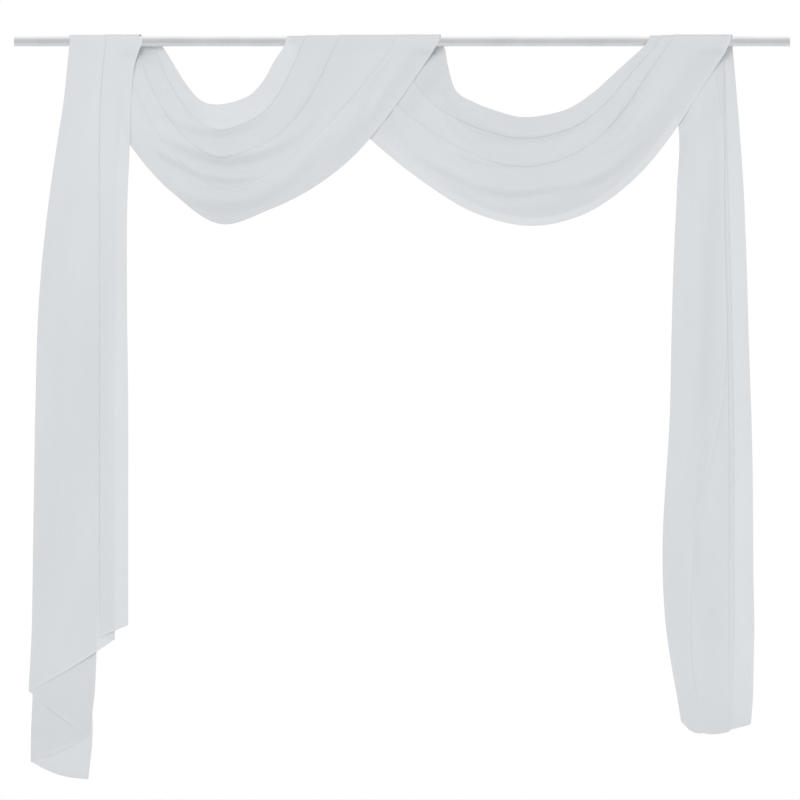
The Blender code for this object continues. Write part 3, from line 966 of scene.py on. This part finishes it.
u_of_points = share_across * FLAT_WIDTH
v_of_points = np.repeat(share_along[:, None], column_count, axis=1) * FLAT_LENGTH
flat = np.stack([u_of_points, v_of_points], axis=-1).reshape(-1, 2)
loop_points = np.empty(len(mesh.loops), int)
mesh.loops.foreach_get("vertex_index", loop_points)
uv = mesh.uv_layers.new(name="flat_cloth")
uv.data.foreach_set("uv", flat[loop_points].ravel())
print(f"scarf: {along.sum():.2f} m long, {width.min():.2f} to {width.max():.2f} m of cloth across")

# %% [markdown]
# ## Gathers
#
# Where the drawn folds take up less than the cloth's real width, the rest is in gathers too fine
# to draw. The attribute gather says how much denser the cloth looks there. Hundreds of tiny pleats
# would show the same from close by, for many times the faces.

# %% Gathers and the finished sheet
gather = np.repeat((FLAT_WIDTH / width)[:, None], column_count, axis=1)
attribute = mesh.attributes.new("gather", "FLOAT", "POINT")
attribute.data.foreach_set("value", gather.ravel())

scarf = bpy.data.objects.new("scarf_voile", mesh)
scene.collection.objects.link(scarf)
print(f"gathers: {gather.min():.2f} to {gather.max():.2f} times as dense as the flat cloth")

# %% [markdown]
# ## Voile: the hems
#
# The scarf has a narrow rolled hem all round, where the cloth is doubled. A strip of mesh could be
# laid along the edge. At this width a denser line in the cloth shows as much, and it bends with the
# cloth. The distance to the nearest edge comes from the flat map.

# %% Hems of the voile
SELVEDGE_WIDTH = 0.008
HEM_WIDTH = 0.010
HEM_SOFTNESS = 0.001

voile = Graph(bpy.data.materials.new("voile"))
flat_place = voile.node("ShaderNodeUVMap", {"uv_map": "flat_cloth"})
u = voile.node("ShaderNodeSeparateXYZ", {}, {"Vector": flat_place})
v = u.beside("Y")
gathered = voile.node("ShaderNodeAttribute", {"attribute_name": "gather"}, output="Fac")


def hem_mask(distance, hem_width):
    """1 inside a hem's width, with a soft edge."""
    return 1 - between(distance, hem_width - HEM_SOFTNESS, hem_width + HEM_SOFTNESS)


from_side = u.math("MINIMUM", FLAT_WIDTH - u)
from_end = v.math("MINIMUM", FLAT_LENGTH - v)
hem = hem_mask(from_side, SELVEDGE_WIDTH).math("MAXIMUM", hem_mask(from_end, HEM_WIDTH))
print(f"hems: {SELVEDGE_WIDTH * 1000:.0f} mm along the sides, {HEM_WIDTH * 1000:.0f} mm at the ends")

# %% [markdown]
# ## Voile: how sheer it is
#
# Voile is a plain weave of fine, hard-twisted yarns with light between them. The photograph shows
# hardly any difference in tone between one layer and several, so one layer here lets only about a
# twentieth of the light through, and each further layer adds to that. So the material is mostly its
# alpha: a base value, raised where the cloth is gathered and where the hem is doubled, with a faint
# streakiness from thicker yarns. A transmission shader is the other way to see through cloth, but
# light that bends on its way belongs to glass.

# %% Sheerness of the voile
ONE_LAYER_ALPHA = 0.945
THICK_YARNS_ADD = 0.05
HEM_ADDS_LAYERS = 0.3
LENGTHWISE_YARNS = (900, 14, 1)
CROSSWISE_YARNS = (14, 900, 1)
CLOUDS = (5, 2, 1)

lengthwise = noise(stretched(flat_place, LENGTHWISE_YARNS))
crosswise = noise(stretched(flat_place, CROSSWISE_YARNS))
yarns = lengthwise + crosswise - 1
cloud = noise(stretched(flat_place, CLOUDS), detail=3.0)

one_layer = ONE_LAYER_ALPHA + yarns * THICK_YARNS_ADD
layers = gathered + hem * HEM_ADDS_LAYERS
alpha = 1 - (1 - one_layer).math("POWER", layers)
print(f"light through one layer {1 - ONE_LAYER_ALPHA:.3f}, through two {(1 - ONE_LAYER_ALPHA) ** 2:.4f}")

# %% [markdown]
# ## Voile: weave and tone
#
# The weave is two sine waves, because a weave is regular. A noise serves for what is irregular: the
# thicker yarns and the slow changes of tone. All of the relief goes through one bump, since single
# yarns are too fine for a mesh. The cloth is dull, with a little sheen where it is seen from the
# side.

# %% Weave and tone of the voile
THREADS_PER_METRE = 1700
WEAVE_RELIEF = 0.5
YARN_RELIEF = 1.5
HEM_RELIEF = 0.2
RELIEF_STRENGTH = 0.35
RELIEF_DEPTH = 0.00015
VOILE_LIGHT = (0.652, 0.672, 0.686, 1)
VOILE_SHADE = (0.634, 0.654, 0.670, 1)
VOILE_ROUGHNESS = 0.74
YARNS_ROUGHEN = 0.12

warp = (u * THREADS_PER_METRE * math.tau).math("SINE")
weft = (v * THREADS_PER_METRE * math.tau).math("SINE")
relief = warp * weft * WEAVE_RELIEF + yarns * YARN_RELIEF + hem * HEM_RELIEF
bump_sockets = {"Strength": RELIEF_STRENGTH, "Distance": RELIEF_DEPTH, "Height": relief}
bump = voile.node("ShaderNodeBump", {}, bump_sockets)

scarf.data.materials.append(voile.finish(
    Base_Color=blend(between(cloud, 0.3, 0.7), VOILE_SHADE, VOILE_LIGHT),
    Roughness=between(yarns, -0.6, 0.6) * YARNS_ROUGHEN + VOILE_ROUGHNESS,
    Alpha=alpha,
    Normal=bump,
    Sheen_Weight=0.15,
    Sheen_Roughness=0.5,
    Specular_IOR_Level=0.2,
))

# %% [markdown]
# ## The rod
#
# The rod is a plain drawn tube with a satin chrome finish. Its shape is already right, so it
# keeps its mesh and gets a metal: faint lengthwise draw lines in the bump and roughness, and a
# slow change in tone. The lines could be grooves in the mesh, but they are finer than a hair. Round
# metal is bright along its edges and dark along its middle because of what it mirrors, which is
# left to the light.

# %% Rod material
DRAW_LINES = (6, 1600, 1600)
DRAW_LINES_STRENGTH = 0.12
DRAW_LINES_DEPTH = 0.0001
CHROME_SHADE = (0.83, 0.84, 0.85, 1)
CHROME_LIGHT = (0.88, 0.89, 0.90, 1)
CHROME_ROUGHNESS = 0.26
DRAW_LINES_ROUGHEN = 0.08
CLOUDS_ROUGHEN = 0.06

chrome = Graph(bpy.data.materials.new("rod_satin_chrome"))
place = chrome.node("ShaderNodeTexCoord", output="Object")
draw_lines = noise(stretched(place, DRAW_LINES), detail=3.0)
cloud = noise(place, 9.0, 3.0)
bump_sockets = {"Strength": DRAW_LINES_STRENGTH, "Distance": DRAW_LINES_DEPTH, "Height": draw_lines}
bump = chrome.node("ShaderNodeBump", {}, bump_sockets)
from_lines = between(draw_lines, 0.3, 0.7) * DRAW_LINES_ROUGHEN
rod_finish = chrome.finish(
    Base_Color=blend(between(cloud, 0.35, 0.65), CHROME_SHADE, CHROME_LIGHT),
    Roughness=from_lines + CHROME_ROUGHNESS + (cloud - 0.5) * CLOUDS_ROUGHEN,
    Metallic=1.0,
    Normal=bump,
)

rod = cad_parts["rod"]
if rod.material_slots:
    rod.material_slots[0].material = rod_finish
else:
    rod.data.materials.append(rod_finish)

# %% [markdown]
# ## Studio: a white room
#
# White net on white needs almost no shadow and a very even light. The surroundings are a white
# room that is a little dimmer on the camera's side, which gives the rod its dark middle and the
# folds their shade, and a touch dimmer below than above. Real walls round the model could give the
# same light, but they would have to be kept out of every view.

# %% White room
TOWARDS_CAMERA = -1.0
BRIGHT_FROM = 0.2
LIGHT_FROM_CAMERA_SIDE = 0.62
LIGHT_FROM_WINDOW_SIDE = 1.0
STRAIGHT_DOWN = -1.0
STRAIGHT_UP = 1.0
LIGHT_FROM_BELOW = 0.95
LIGHT_FROM_ABOVE = 1.05

scene.world = bpy.data.worlds.new("white_room")
room = Graph(scene.world, "Background")
direction = room.node("ShaderNodeSeparateXYZ", {}, {"Vector": room.node("ShaderNodeTexCoord")})
sides = (LIGHT_FROM_CAMERA_SIDE, LIGHT_FROM_WINDOW_SIDE)
side_light = between(direction.beside("Y"), TOWARDS_CAMERA, BRIGHT_FROM, sides)
heights = (LIGHT_FROM_BELOW, LIGHT_FROM_ABOVE)
height_light = between(direction.beside("Z"), STRAIGHT_DOWN, STRAIGHT_UP, heights, "LINEAR")
room.finish(Strength=side_light * height_light, Color=(1, 1, 1, 1))

# %% [markdown]
# ## Studio: two lamps
#
# A wide soft lamp from the upper left gives the creases their light and dark sides. A weaker one
# from the lower right opens the thin shadows where one swag crosses another. A sun lamp would light
# a window more truly, but its hard shadows would draw every fold. Neither lamp shows in the rod.

# %% Lamps
LAMPS_AIM_AT = (0, 0, -0.9)
LAMPS = (
    # name, place, size, power
    ("key", (-2.2, -9.0, 2.8), 4.0, 290),
    ("fill", (2.8, -8.0, -2.6), 2.5, 128),
)

for name, place, size, power in LAMPS:
    lamp_data = bpy.data.lights.new(name, "AREA")
    lamp_data.size = size
    lamp_data.energy = power
    lamp = bpy.data.objects.new(name, lamp_data)
    scene.collection.objects.link(lamp)
    lamp.location = place
    lamp.rotation_euler = (Vector(LAMPS_AIM_AT) - Vector(place)).to_track_quat("-Z", "Y").to_euler()
    lamp.visible_glossy = False
    print(f"{name}: {power} W, {size} m wide")

# %% [markdown]
# ## Studio: a pale floor
#
# A window dressing hangs clear of the floor, which lies a hand's width under the tails. It is one
# plane with a barely uneven pale tone. A curved backdrop would hide its far edge, but the front
# view ends above the floor.

# %% Floor and colours
FLOOR_BELOW = 0.10
FLOOR_SIZE = 3.0
FLOOR_SHADE = (0.69, 0.69, 0.69, 1)
FLOOR_LIGHT = (0.73, 0.73, 0.73, 1)

floor_height = frame_box[0][2] - FLOOR_BELOW
bpy.ops.object.select_all(action="DESELECT")
bpy.ops.mesh.primitive_plane_add(size=FLOOR_SIZE, location=(0, 0, floor_height))
floor = bpy.context.object
floor.name = "floor"
pale = Graph(bpy.data.materials.new("floor_pale"))
cloud = noise(pale.node("ShaderNodeTexCoord", output="Object"), 1.5)
floor.data.materials.append(pale.finish(Base_Color=blend(cloud, FLOOR_SHADE, FLOOR_LIGHT), Roughness=0.8))
scene.view_settings.view_transform = "Standard"
print(f"floor at {floor_height:.3f} m")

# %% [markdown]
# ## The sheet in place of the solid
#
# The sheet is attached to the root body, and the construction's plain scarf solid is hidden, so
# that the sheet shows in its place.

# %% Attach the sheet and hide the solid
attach(scarf, "root")
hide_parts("scarf")
